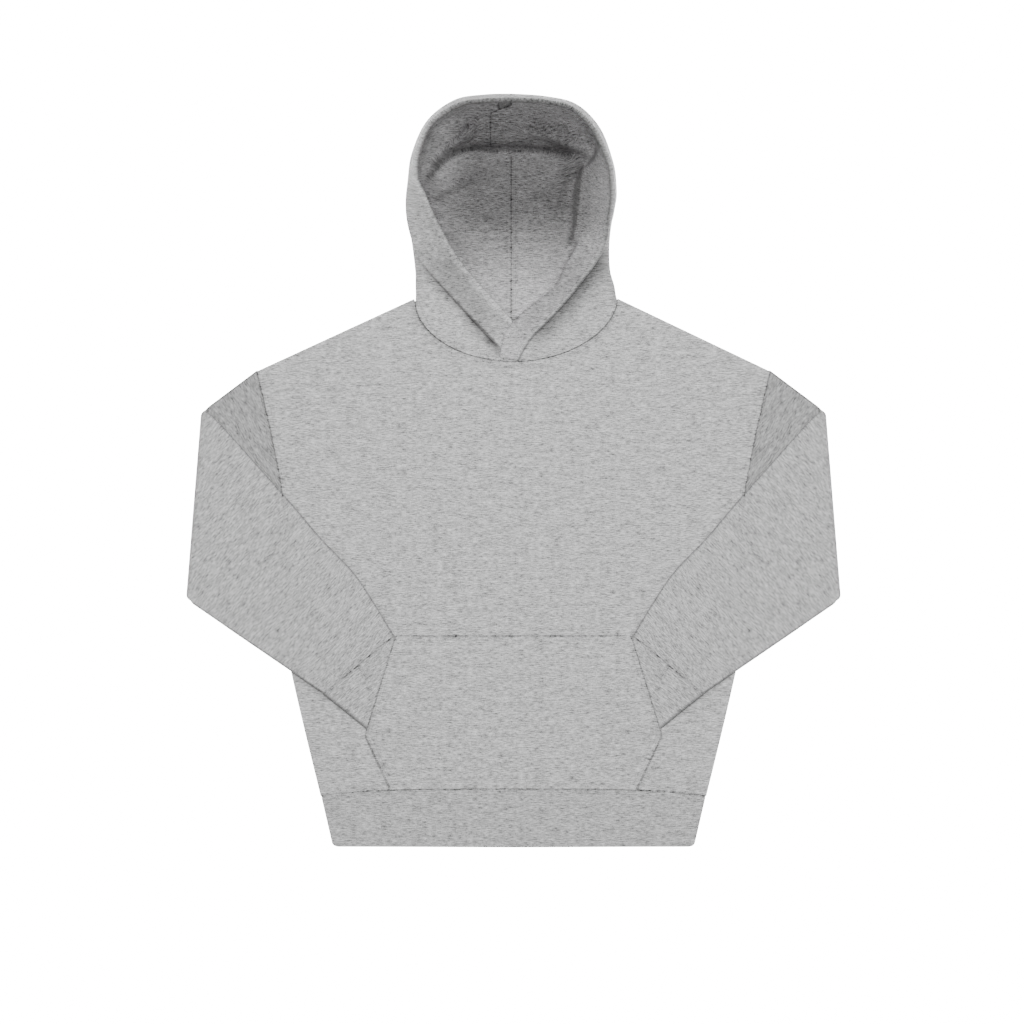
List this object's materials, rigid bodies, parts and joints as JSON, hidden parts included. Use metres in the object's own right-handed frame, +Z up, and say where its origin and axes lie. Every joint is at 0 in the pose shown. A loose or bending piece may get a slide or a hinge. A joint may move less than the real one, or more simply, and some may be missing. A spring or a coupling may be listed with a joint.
{
  "type": "pullover hoodie laid flat",
  "caption": "Pullover hoodie laid face up with its hood open, sleeves folded in and cuffs tucked into the kangaroo pocket.",
  "frame": {"origin": "on the surface the garment lies on, under the middle of its overall box", "axes": "+X towards a viewer's right with the garment face up, +Y from the hem to the hood, +Z up from the surface"},
  "size_m": [0.8388, 0.964, 0.0884],
  "materials": {
    "fleece": "matt heather grey loopback fleece",
    "hood_inside": "matt heather grey loopback fleece",
    "cuffs_and_hem": "matt heather grey fleece, doubled"
  },
  "bodies": {
    "root": {"back_panel": "fleece", "front_panel": "fleece", "kangaroo_pocket": "fleece", "sleeve_left": "fleece", "sleeve_right": "fleece", "hood_outer_left": "fleece", "hood_outer_right": "fleece", "hood_inner_left": "hood_inside", "hood_inner_right": "hood_inside", "cuff_left": "cuffs_and_hem", "cuff_right": "cuffs_and_hem", "hem_band": "cuffs_and_hem"}
  },
  "joints": []
}
